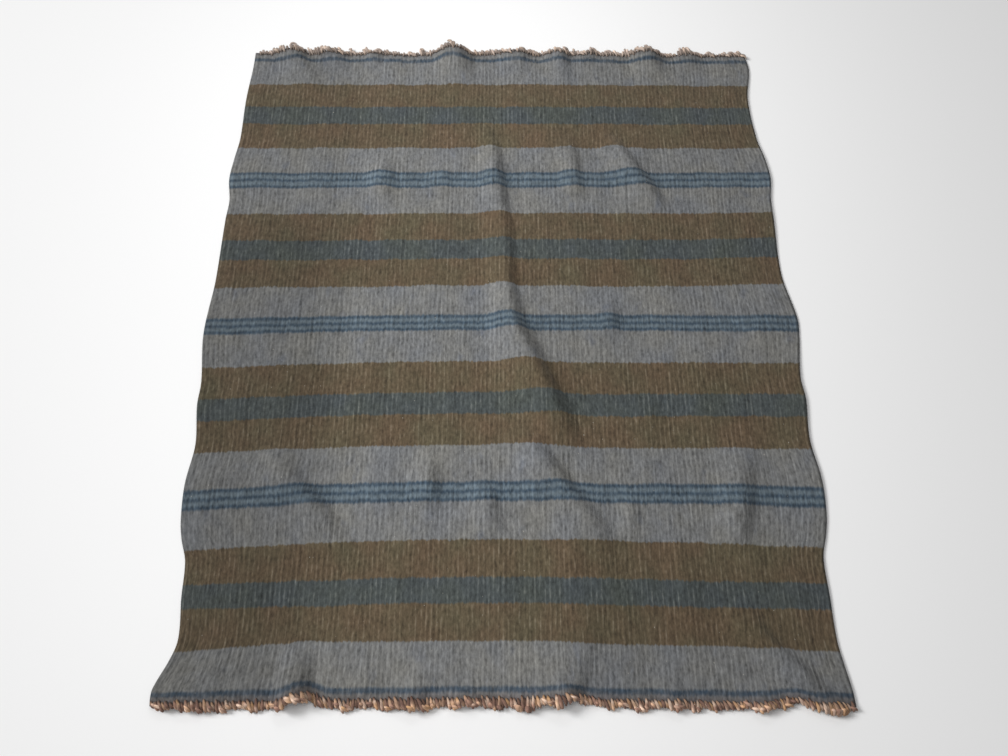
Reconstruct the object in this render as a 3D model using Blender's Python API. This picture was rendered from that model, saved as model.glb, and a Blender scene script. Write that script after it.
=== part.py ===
"""Wool blanket laid out flat, its two ends ruffled by a thick stitched yarn edging.

Every piece is first modelled flat, in the cloth's own measure: x across from the middle
warp, y along from the near end and z up from the underside. Each of its points is then
laid: drawn out or in at the selvedges, shifted along by the wefts' drift, and lifted by
the ridges and ruffles. Metres, +Z up, the underside on z = 0.
"""
import math
import random
from collections import namedtuple

import bmesh
import bpy
from mathutils import Vector

# Driving sizes
WIDTH = 1.500
LENGTH = 1.846
CLOTH_THICKNESS = 0.003
EDGING_DEPTH = 0.022
EDGING_THICKNESS = 0.005
TOOTH_ROOT = 0.008
PIECE_GAP = 0.0004

# Steps of the meshes: columns across, and rows along, which are closer near both ends
COLUMNS = 62
CELLS_A_COLUMN = 2
END_ROWS = 6
END_ROWS_LENGTH = 0.150
MIDDLE_ROWS = 32
SLOPE_STEP = 0.002

# Teeth of the edging: each takes one to four cells of its strip
TOOTH_CELLS = (2, 3, 1, 2, 4, 2, 3)
TOOTH_LENGTHS = (0.005, 0.012, 0.008, 0.015, 0.006, 0.013, 0.010)
TOOTH_TIP_WIDTH = 0.30
TOOTH_TIP_THICKNESS = 0.0022
TOOTH_LEAN_A_CELL = 0.0030
TOOTH_SEED = {"near": 5, "far": 8}

# How far each selvedge stands out of the straight, at places along it
SELVEDGE_POWER = 2.6
Selvedge = namedtuple("Selvedge", "along left right")
SELVEDGES = (
    Selvedge(0.000, 0.008, 0.006),
    Selvedge(0.045, 0.011, 0.004),
    Selvedge(0.075, 0.002, 0.000),
    Selvedge(0.118, -0.016, -0.007),
    Selvedge(0.160, -0.029, -0.013),
    Selvedge(0.240, -0.022, -0.014),
    Selvedge(0.335, -0.017, -0.015),
    Selvedge(0.385, -0.001, -0.001),
    Selvedge(0.430, 0.008, 0.008),
    Selvedge(0.510, 0.012, 0.010),
    Selvedge(0.605, 0.001, -0.004),
    Selvedge(0.710, 0.012, 0.002),
    Selvedge(0.770, 0.011, -0.003),
    Selvedge(0.880, 0.024, 0.011),
    Selvedge(0.935, 0.025, 0.014),
    Selvedge(1.050, 0.017, -0.009),
    Selvedge(1.240, 0.017, -0.008),
    Selvedge(1.300, 0.014, -0.007),
    Selvedge(1.370, 0.024, 0.001),
    Selvedge(1.440, 0.019, -0.007),
    Selvedge(1.510, 0.011, -0.021),
    Selvedge(1.660, 0.012, -0.029),
    Selvedge(1.774, 0.006, -0.012),
    Selvedge(1.846, 0.006, -0.026),
)

# How far the wefts drift along the cloth, at seven places across it
DRIFT_PLACES = (-0.75, -0.45, -0.15, 0.10, 0.25, 0.50, 0.75)
Drift = namedtuple("Drift", "along edge_left left mid_left mid_right right_inner right edge_right")
DRIFTS = (
    Drift(0.000, -0.004, -0.004, 0.000, 0.002, -0.001, -0.006, -0.006),
    Drift(0.130, -0.021, -0.002, 0.002, 0.002, -0.005, -0.009, -0.021),
    Drift(0.215, -0.011, -0.005, 0.002, 0.002, -0.001, -0.008, -0.010),
    Drift(0.350, -0.023, -0.006, 0.003, 0.004, 0.000, -0.006, -0.015),
    Drift(0.480, -0.018, -0.002, 0.005, 0.006, 0.000, -0.001, -0.010),
    Drift(0.580, -0.014, 0.000, 0.007, 0.007, 0.000, 0.000, -0.003),
    Drift(0.720, -0.017, -0.003, 0.004, 0.004, -0.002, -0.001, -0.002),
    Drift(0.930, -0.013, -0.005, 0.000, 0.000, 0.000, -0.002, -0.002),
    Drift(1.030, -0.004, -0.003, 0.002, 0.002, 0.000, 0.000, 0.008),
    Drift(1.150, -0.004, -0.003, 0.000, 0.001, 0.000, -0.001, 0.007),
    Drift(1.480, 0.000, 0.000, 0.001, 0.001, 0.001, -0.001, 0.000),
    Drift(1.846, 0.000, 0.000, 0.000, 0.000, 0.000, 0.000, 0.000),
)

# Ridges that run along the cloth: where the crest lies, its height, and how far each flank reaches
Station = namedtuple("Station", "along crest height left right")
RIDGES = {
    "centre": (
        Station(1.640, -0.075, 0.000, 0.050, 0.032),
        Station(1.480, -0.038, 0.015, 0.055, 0.034),
        Station(1.370, -0.026, 0.018, 0.055, 0.036),
        Station(1.200, -0.004, 0.014, 0.060, 0.038),
        Station(1.060, 0.003, 0.020, 0.065, 0.040),
        Station(0.930, 0.018, 0.030, 0.075, 0.044),
        Station(0.810, 0.066, 0.034, 0.110, 0.048),
        Station(0.720, 0.105, 0.029, 0.130, 0.052),
        Station(0.640, 0.135, 0.020, 0.130, 0.055),
        Station(0.550, 0.165, 0.000, 0.120, 0.050),
    ),
    "centre_lower": (
        Station(0.660, 0.015, 0.000, 0.150, 0.048),
        Station(0.580, 0.065, 0.018, 0.160, 0.046),
        Station(0.500, 0.120, 0.022, 0.130, 0.046),
        Station(0.430, 0.175, 0.018, 0.120, 0.046),
        Station(0.360, 0.220, 0.012, 0.120, 0.046),
        Station(0.240, 0.205, 0.006, 0.160, 0.050),
        Station(0.120, 0.165, 0.010, 0.180, 0.048),
        Station(0.000, 0.130, 0.012, 0.160, 0.048),
    ),
    "left_lower": (
        Station(0.590, -0.560, 0.000, 0.080, 0.036),
        Station(0.500, -0.505, 0.018, 0.090, 0.040),
        Station(0.420, -0.435, 0.020, 0.100, 0.040),
        Station(0.350, -0.385, 0.011, 0.090, 0.040),
        Station(0.290, -0.345, 0.000, 0.080, 0.040),
    ),
    "third_lines_left": (
        Station(0.570, -0.190, 0.000, 0.060, 0.036),
        Station(0.490, -0.180, 0.014, 0.065, 0.036),
        Station(0.410, -0.170, 0.000, 0.060, 0.036),
    ),
    "third_lines_middle": (
        Station(0.500, -0.045, 0.000, 0.050, 0.032),
        Station(0.430, -0.035, 0.011, 0.050, 0.032),
        Station(0.350, -0.025, 0.000, 0.050, 0.032),
    ),
    "right_lower": (
        Station(0.610, 0.580, 0.000, 0.060, 0.034),
        Station(0.500, 0.562, 0.012, 0.065, 0.036),
        Station(0.410, 0.545, 0.012, 0.065, 0.036),
        Station(0.330, 0.535, 0.000, 0.060, 0.036),
    ),
    "right_corner": (
        Station(0.250, 0.530, 0.000, 0.060, 0.036),
        Station(0.170, 0.565, 0.012, 0.070, 0.038),
        Station(0.090, 0.640, 0.016, 0.080, 0.040),
        Station(0.000, 0.700, 0.008, 0.080, 0.040),
    ),
    "first_lines_left": (
        Station(1.460, -0.348, 0.000, 0.050, 0.044),
        Station(1.370, -0.342, 0.016, 0.055, 0.046),
        Station(1.260, -0.335, 0.000, 0.050, 0.044),
    ),
    "first_lines_middle": (
        Station(1.440, -0.180, 0.000, 0.060, 0.042),
        Station(1.370, -0.176, 0.010, 0.062, 0.042),
        Station(1.290, -0.172, 0.000, 0.060, 0.042),
    ),
    "first_lines_inner_right": (
        Station(1.530, 0.180, 0.000, 0.050, 0.032),
        Station(1.440, 0.188, 0.013, 0.052, 0.034),
        Station(1.360, 0.196, 0.013, 0.052, 0.034),
        Station(1.290, 0.200, 0.000, 0.050, 0.032),
    ),
    "first_lines_right": (
        Station(1.530, 0.300, 0.000, 0.060, 0.036),
        Station(1.450, 0.333, 0.018, 0.070, 0.038),
        Station(1.380, 0.370, 0.022, 0.090, 0.042),
        Station(1.320, 0.405, 0.016, 0.100, 0.042),
        Station(1.250, 0.440, 0.000, 0.090, 0.040),
    ),
    "second_lines_right": (
        Station(1.000, 0.265, 0.000, 0.044, 0.036),
        Station(0.930, 0.270, 0.012, 0.046, 0.038),
        Station(0.870, 0.275, 0.000, 0.044, 0.036),
    ),
}

# Ridges that a column of the cloth's mesh follows: the column's own place, how far its
# neighbours lean with it, and how far past the ridges' ends the lean fades
Guide = namedtuple("Guide", "ridges column reach run_out")
GUIDES = (
    Guide(("centre", "centre_lower"), 0.072, 0.420, 0.140),
    Guide(("left_lower",), -0.460, 0.260, 0.100),
    Guide(("first_lines_right",), 0.363, 0.190, 0.100),
    Guide(("right_corner",), 0.620, 0.130, 0.060),
)
NO_HEIGHT = 0.0001

# Ruffles of the two ends: crest across, height at the end, flanks, reach into the cloth, and
# how far the crest moves sideways over that reach
Ruffle = namedtuple("Ruffle", "crest height left right reach slant")
RUFFLES = {
    "far": (
        Ruffle(-0.645, 0.030, 0.075, 0.048, 0.170, 0.075),
        Ruffle(-0.525, 0.022, 0.060, 0.050, 0.110, 0.030),
        Ruffle(-0.395, 0.012, 0.034, 0.034, 0.090, 0.000),
        Ruffle(-0.155, 0.044, 0.080, 0.062, 0.170, 0.030),
        Ruffle(0.035, 0.020, 0.090, 0.050, 0.110, 0.015),
        Ruffle(0.165, 0.022, 0.060, 0.038, 0.130, 0.010),
        Ruffle(0.255, 0.011, 0.040, 0.040, 0.080, 0.000),
        Ruffle(0.430, 0.033, 0.072, 0.052, 0.130, 0.030),
        Ruffle(0.560, 0.013, 0.050, 0.050, 0.090, 0.000),
    ),
    "near": (
        Ruffle(-0.690, 0.010, 0.080, 0.080, 0.120, -0.010),
        Ruffle(-0.450, 0.028, 0.055, 0.050, 0.110, -0.010),
        Ruffle(-0.195, 0.013, 0.060, 0.038, 0.080, 0.000),
        Ruffle(-0.080, 0.011, 0.042, 0.034, 0.070, 0.000),
        Ruffle(0.130, 0.012, 0.080, 0.046, 0.090, 0.010),
        Ruffle(0.350, 0.009, 0.050, 0.040, 0.070, 0.000),
        Ruffle(0.560, 0.012, 0.055, 0.040, 0.080, 0.000),
    ),
}

# Places where the near end is drawn in
Notch = namedtuple("Notch", "across depth spread reach")
NEAR_NOTCHES = (
    Notch(-0.430, 0.017, 0.060, 0.120),
    Notch(0.150, 0.009, 0.060, 0.080),
    Notch(0.620, 0.012, 0.065, 0.110),
)


def hump(offset, left, right):
    """Height share of a ridge, from 1 on its crest to 0 where either flank ends."""
    share = offset / (left if offset < 0.0 else right)
    return (1.0 - share * share) ** 2 if abs(share) < 1.0 else 0.0


def fade(distance, reach):
    """Share that is left at a distance from an end, from 1 to 0 at its reach."""
    share = min(max(distance / reach, 0.0), 1.0)
    return (1.0 - share) ** 2 * (1.0 + 2.0 * share)


def curve(places, values, place):
    """Value at a place on the smooth curve through the values, level past both ends."""
    if place <= places[0]:
        return values[0]
    if place >= places[-1]:
        return values[-1]
    index = next(i for i in range(1, len(places)) if place < places[i]) - 1
    span = places[index + 1] - places[index]
    share = (place - places[index]) / span

    def slope(i):
        """Slope of the curve at one of its values."""
        before, after = max(i - 1, 0), min(i + 1, len(places) - 1)
        return (values[after] - values[before]) / (places[after] - places[before])

    squared, cubed = share * share, share ** 3
    return (values[index] * (2.0 * cubed - 3.0 * squared + 1.0)
            + values[index + 1] * (3.0 * squared - 2.0 * cubed)
            + span * slope(index) * (cubed - 2.0 * squared + share)
            + span * slope(index + 1) * (cubed - squared))


def column(rows, name):
    """One named column of a table, as a list."""
    return [getattr(row, name) for row in rows]


def selvedge_shift(across, along):
    """Sideways shift, which grows from the middle to the selvedge."""
    side = "right" if across > 0.0 else "left"
    outward = curve(column(SELVEDGES, "along"), column(SELVEDGES, side), along)
    share = (abs(across) / (WIDTH / 2.0)) ** SELVEDGE_POWER
    return math.copysign(share, across) * outward


def weft_drift(across, along):
    """Shift along the cloth of the weft at this place."""
    places = column(DRIFTS, "along")
    values = [curve(places, column(DRIFTS, name), along) for name in Drift._fields[1:]]
    return curve(DRIFT_PLACES, values, across)


def notch_shift(across, along):
    """Shift of the near end where its edging is drawn in."""
    return sum(n.depth * hump(across - n.across, n.spread, n.spread) * fade(along, n.reach)
               for n in NEAR_NOTCHES)


def ridge_height(stations, across, along):
    """Height of one ridge at a place."""
    rows = sorted(stations)
    places = column(rows, "along")
    if not places[0] <= along <= places[-1]:
        return 0.0
    crest, height, left, right = (
        curve(places, column(rows, name), along) for name in ("crest", "height", "left", "right"))
    return max(height, 0.0) * hump(across - crest, left, right)


def ruffle_height(ruffle, across, from_end):
    """Height of one ruffle at a place, from_end metres in from its end."""
    crest = ruffle.crest + ruffle.slant * from_end / ruffle.reach
    return ruffle.height * hump(across - crest, ruffle.left, ruffle.right) * fade(from_end, ruffle.reach)


def underside(across, along):
    """Point of the cloth's underside, laid out."""
    height = sum(ridge_height(stations, across, along) for stations in RIDGES.values())
    height += sum(ruffle_height(r, across, along) for r in RUFFLES["near"])
    height += sum(ruffle_height(r, across, LENGTH - along) for r in RUFFLES["far"])
    return Vector((
        across + selvedge_shift(across, along),
        along + weft_drift(across, along) + notch_shift(across, along),
        height))


def raised(across, along, lift):
    """Point a lift above the underside, square to the cloth."""
    side = underside(across + SLOPE_STEP, along) - underside(across - SLOPE_STEP, along)
    ahead = underside(across, along + SLOPE_STEP) - underside(across, along - SLOPE_STEP)
    return underside(across, along) + side.cross(ahead).normalized() * lift


def lay_cloth(bm):
    """Move each point of the flat cloth to where it lies."""
    for vert in bm.verts:
        vert.co = raised(*vert.co)


def lay_along_seam(bm):
    """Move each point of a flat edging to where it lies, straight between the cloth's columns."""
    step = WIDTH / COLUMNS
    for vert in bm.verts:
        across, along, lift = vert.co
        share = (across + WIDTH / 2.0) / step
        index = min(max(math.floor(share + 0.001), 0), COLUMNS - 1)
        share -= index
        left, right = (raised((index + side) * step - WIDTH / 2.0, along, lift) for side in (0, 1))
        vert.co = left.lerp(right, share)


def flat_slab(across_places, along_places, thickness):
    """Closed slab in the flat, with a grid of points at the given places."""
    bm = bmesh.new()
    counts = len(across_places) - 1, len(along_places) - 1
    bmesh.ops.create_grid(bm, x_segments=counts[0], y_segments=counts[1], size=0.5)
    for vert in bm.verts:
        vert.co.x = across_places[round((vert.co.x + 0.5) * counts[0])]
        vert.co.y = along_places[round((vert.co.y + 0.5) * counts[1])]
    bmesh.ops.solidify(bm, geom=bm.faces[:], thickness=thickness)
    lowest = min(vert.co.z for vert in bm.verts)
    for vert in bm.verts:
        vert.co.z -= lowest
    return bm


def guide_lean(guide, along):
    """How far a guided column leans: to the mean of its ridges' crests, each by its height."""
    crests, weights, shares = [], [], []
    for name in guide.ridges:
        rows = sorted(RIDGES[name])
        places = column(rows, "along")
        past = max(places[0] - along, along - places[-1], 0.0)
        shares.append(fade(past, guide.run_out))
        crests.append(curve(places, column(rows, "crest"), along))
        weights.append((max(curve(places, column(rows, "height"), along), 0.0) + NO_HEIGHT) * shares[-1])
    if not any(weights):
        return 0.0
    crest = sum(c * w for c, w in zip(crests, weights)) / sum(weights)
    return (crest - guide.column) * max(shares)


def lean_columns(bm):
    """Lean the flat cloth's columns so that some of them run along a ridge's crest."""
    for vert in bm.verts:
        across, along = vert.co.x, vert.co.y
        to_end = min(along - EDGING_DEPTH, LENGTH - EDGING_DEPTH - along)
        share = 1.0 - fade(to_end, END_ROWS_LENGTH)
        for guide in GUIDES:
            near = hump(across - guide.column, guide.reach, guide.reach)
            vert.co.x += share * near * guide_lean(guide, along)


def spaced(start, end, count):
    """Places from start to end in count equal steps."""
    return [start + (end - start) * i / count for i in range(count + 1)]


def finish_piece(name, bm, material, parent):
    """Turn a laid piece's faces out and link it under the blanket's empty."""
    bmesh.ops.recalc_face_normals(bm, faces=bm.faces[:])
    mesh = bpy.data.meshes.new(name)
    bm.to_mesh(mesh)
    bm.free()
    mesh.materials.append(material)
    mesh.shade_smooth()
    mesh.set_sharp_from_angle(angle=math.radians(50.0))
    piece = bpy.data.objects.new(name, mesh)
    piece.parent = parent
    bpy.context.scene.collection.objects.link(piece)
    return piece


def make_material(name, colour, roughness):
    """Principled material of a wool finish."""
    material = bpy.data.materials.new(name)
    material.use_nodes = True
    shader = material.node_tree.nodes["Principled BSDF"]
    shader.inputs["Base Color"].default_value = (*colour, 1.0)
    shader.inputs["Roughness"].default_value = roughness
    shader.inputs["Metallic"].default_value = 0.0
    return material


def make_cloth(parent):
    """The woven cloth between the two edgings, with its plain selvedges."""
    start, end = EDGING_DEPTH, LENGTH - EDGING_DEPTH
    rows = spaced(start, start + END_ROWS_LENGTH, END_ROWS)[:-1]
    rows += spaced(start + END_ROWS_LENGTH, end - END_ROWS_LENGTH, MIDDLE_ROWS)[:-1]
    rows += spaced(end - END_ROWS_LENGTH, end, END_ROWS)
    bm = flat_slab(spaced(-WIDTH / 2.0, WIDTH / 2.0, COLUMNS), rows, CLOTH_THICKNESS)
    lean_columns(bm)
    lay_cloth(bm)
    return finish_piece("blanket_cloth", bm, make_material("brushed_wool", (0.13, 0.125, 0.12), 0.95), parent)


def draw_tooth(bm, faces, length, lean):
    """Draw some of a strip's outer faces out into one tapering tooth that lies level."""
    drawn = bmesh.ops.extrude_face_region(bm, geom=faces)["geom"]
    bmesh.ops.delete(bm, geom=faces, context="FACES_ONLY")
    tip = [item for item in drawn if isinstance(item, bmesh.types.BMVert)]
    middle = sum(vert.co.x for vert in tip) / len(tip)
    for vert in tip:
        vert.co.x = middle + lean + (vert.co.x - middle) * TOOTH_TIP_WIDTH
        vert.co.y -= length
        vert.co.z *= TOOTH_TIP_THICKNESS / EDGING_THICKNESS


def make_edging(end, parent, material):
    """The stitched yarn edging of one end: a strip and its row of teeth."""
    cells = COLUMNS * CELLS_A_COLUMN
    places = spaced(-WIDTH / 2.0, WIDTH / 2.0, cells)
    bm = flat_slab(places, (TOOTH_ROOT, EDGING_DEPTH - PIECE_GAP), EDGING_THICKNESS)
    outer = [face for face in bm.faces if face.normal.y < -0.5]
    outer.sort(key=lambda face: face.calc_center_median().x)
    draw = random.Random(TOOTH_SEED[end])
    first = 0
    while first < cells:
        count = min(draw.choice(TOOTH_CELLS), cells - first)
        draw_tooth(bm, outer[first:first + count], draw.choice(TOOTH_LENGTHS),
                   draw.uniform(-TOOTH_LEAN_A_CELL, TOOTH_LEAN_A_CELL) * count)
        first += count
    if end == "far":
        for vert in bm.verts:
            vert.co.y = LENGTH - vert.co.y
    lay_along_seam(bm)
    return finish_piece("edging_" + end, bm, material, parent)


def centre_plan(parent, pieces):
    """Put the origin under the middle of the blanket's box."""
    for axis in (0, 1):
        values = [vert.co[axis] for piece in pieces for vert in piece.data.vertices]
        parent.location[axis] = -(min(values) + max(values)) / 2.0
    bpy.context.view_layer.update()


def main():
    """Build the blanket."""
    for old in list(bpy.data.objects):
        bpy.data.objects.remove(old, do_unlink=True)
    blanket = bpy.data.objects.new("blanket", None)
    bpy.context.scene.collection.objects.link(blanket)
    yarn = make_material("edging_yarn", (0.23, 0.13, 0.09), 0.9)
    pieces = [make_cloth(blanket)]
    pieces += [make_edging(end, blanket, yarn) for end in ("near", "far")]
    centre_plan(blanket, pieces)


main()
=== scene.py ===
"""Looks of a wool blanket laid out flat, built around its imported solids.

The cloth is a thin sheet on the solids' own folds, with finer creases and the drawn-up ends
that its stitching makes. Each end's yarn edging is a row of stitches that meet in pointed teeth.
Everything is first modelled in the cloth's own flat measure, across from the middle warp, along
from the near end and lifted from the underside, and then laid. Metres, +Z up.
"""
import logging
import math
import random
from dataclasses import dataclass
from enum import Enum
from typing import NamedTuple, Sequence, Union

import bmesh
import bpy
import numpy as np
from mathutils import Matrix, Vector


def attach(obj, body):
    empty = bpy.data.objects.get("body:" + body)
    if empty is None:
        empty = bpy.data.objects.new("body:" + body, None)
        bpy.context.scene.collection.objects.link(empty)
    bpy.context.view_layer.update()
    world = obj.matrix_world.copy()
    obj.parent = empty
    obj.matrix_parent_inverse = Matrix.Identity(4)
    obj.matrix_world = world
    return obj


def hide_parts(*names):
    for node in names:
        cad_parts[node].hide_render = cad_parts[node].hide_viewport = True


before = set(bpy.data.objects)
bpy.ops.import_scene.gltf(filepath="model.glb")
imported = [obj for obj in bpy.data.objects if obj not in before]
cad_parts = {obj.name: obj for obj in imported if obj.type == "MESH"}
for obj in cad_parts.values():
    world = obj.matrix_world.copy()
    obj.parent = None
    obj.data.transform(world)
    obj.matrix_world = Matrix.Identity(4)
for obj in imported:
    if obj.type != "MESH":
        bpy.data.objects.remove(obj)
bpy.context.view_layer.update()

LOG = logging.getLogger("blanket")
BODY = "root"
FLAT_PLACE = "flat_place"
YARN_PLACE = "yarn_place"
# Yarn attribute: place along the dye, each point's painted shade, and how dulled the yarn is.
YARN_DYE_AND_SHADE = "yarn_dye_and_shade"
NOISE_STEPS = (3.7, 1.9, 1.0)
NOISE_ROUGHNESS = 0.55


class End(Enum):
    """One of the blanket's two stitched ends."""

    NEAR = "near"
    FAR = "far"


class Selvedge(NamedTuple):
    """How far both selvedges stand out of the straight at a place along."""

    along: float
    left: float
    right: float


class Drift(NamedTuple):
    """How far a weft drifts along the cloth, at seven places across it."""

    along: float
    edge_left: float
    left: float
    mid_left: float
    mid_right: float
    right_inner: float
    right: float
    edge_right: float


class Station(NamedTuple):
    """A place on a ridge: where its crest lies, its height, and how far each flank reaches."""

    along: float
    crest: float
    height: float
    left: float
    right: float


class Ruffle(NamedTuple):
    """A ruffle of an end: its crest, height, flanks, reach into the cloth and sideways slant."""

    crest: float
    height: float
    left: float
    right: float
    reach: float
    slant: float


class Notch(NamedTuple):
    """A place where the near end is drawn in."""

    across: float
    depth: float
    spread: float
    reach: float


class Swell(NamedTuple):
    """One train of low waves in the cloth: its height, lengths across and along, and start."""

    height: float
    across: float
    along: float
    start: float


def hump(offset: np.ndarray, left: np.ndarray, right: np.ndarray) -> np.ndarray:
    """Height share at an offset from a crest, from 1 there to 0 where the left or right flank ends."""
    share = offset / np.where(offset < 0.0, left, right)
    return np.where(np.abs(share) < 1.0, (1.0 - share * share) ** 2, 0.0)


def fade(distance: np.ndarray, reach: float) -> np.ndarray:
    """Share that is left at a distance from an end, from 1 to 0 at its reach."""
    share = np.clip(distance / reach, 0.0, 1.0)
    return (1.0 - share) ** 2 * (1.0 + 2.0 * share)


def curve(places: Sequence[float], values: np.ndarray, at: np.ndarray) -> np.ndarray:
    """Smooth curve through some values, level past both ends.

    Args:
        places: where the values are, in rising order.
        values: one value a place, or one row a place with a value for each point of at.
        at: the points at which the curve is read.

    Returns:
        The curve's value at each point.
    """
    spots = np.asarray(places, float)
    rows = np.asarray(values, float)
    if rows.ndim == 1:
        rows = np.broadcast_to(rows[:, None], (len(rows), at.size))
    last = len(spots) - 1
    before, after = np.maximum(np.arange(last + 1) - 1, 0), np.minimum(np.arange(last + 1) + 1, last)
    slopes = (rows[after] - rows[before]) / (spots[after] - spots[before])[:, None]
    place = np.clip(at, spots[0], spots[-1])
    low = np.clip(np.searchsorted(spots, place, side="right") - 1, 0, last - 1)
    point = np.arange(at.size)
    span = spots[low + 1] - spots[low]
    share = (place - spots[low]) / span
    squared, cubed = share ** 2, share ** 3
    return (rows[low, point] * (2.0 * cubed - 3.0 * squared + 1.0)
            + rows[low + 1, point] * (3.0 * squared - 2.0 * cubed)
            + span * slopes[low, point] * (cubed - 2.0 * squared + share)
            + span * slopes[low + 1, point] * (cubed - squared))


def column(rows: Sequence[tuple], name: str) -> list[float]:
    """One named column of a table."""
    return [getattr(row, name) for row in rows]


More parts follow.
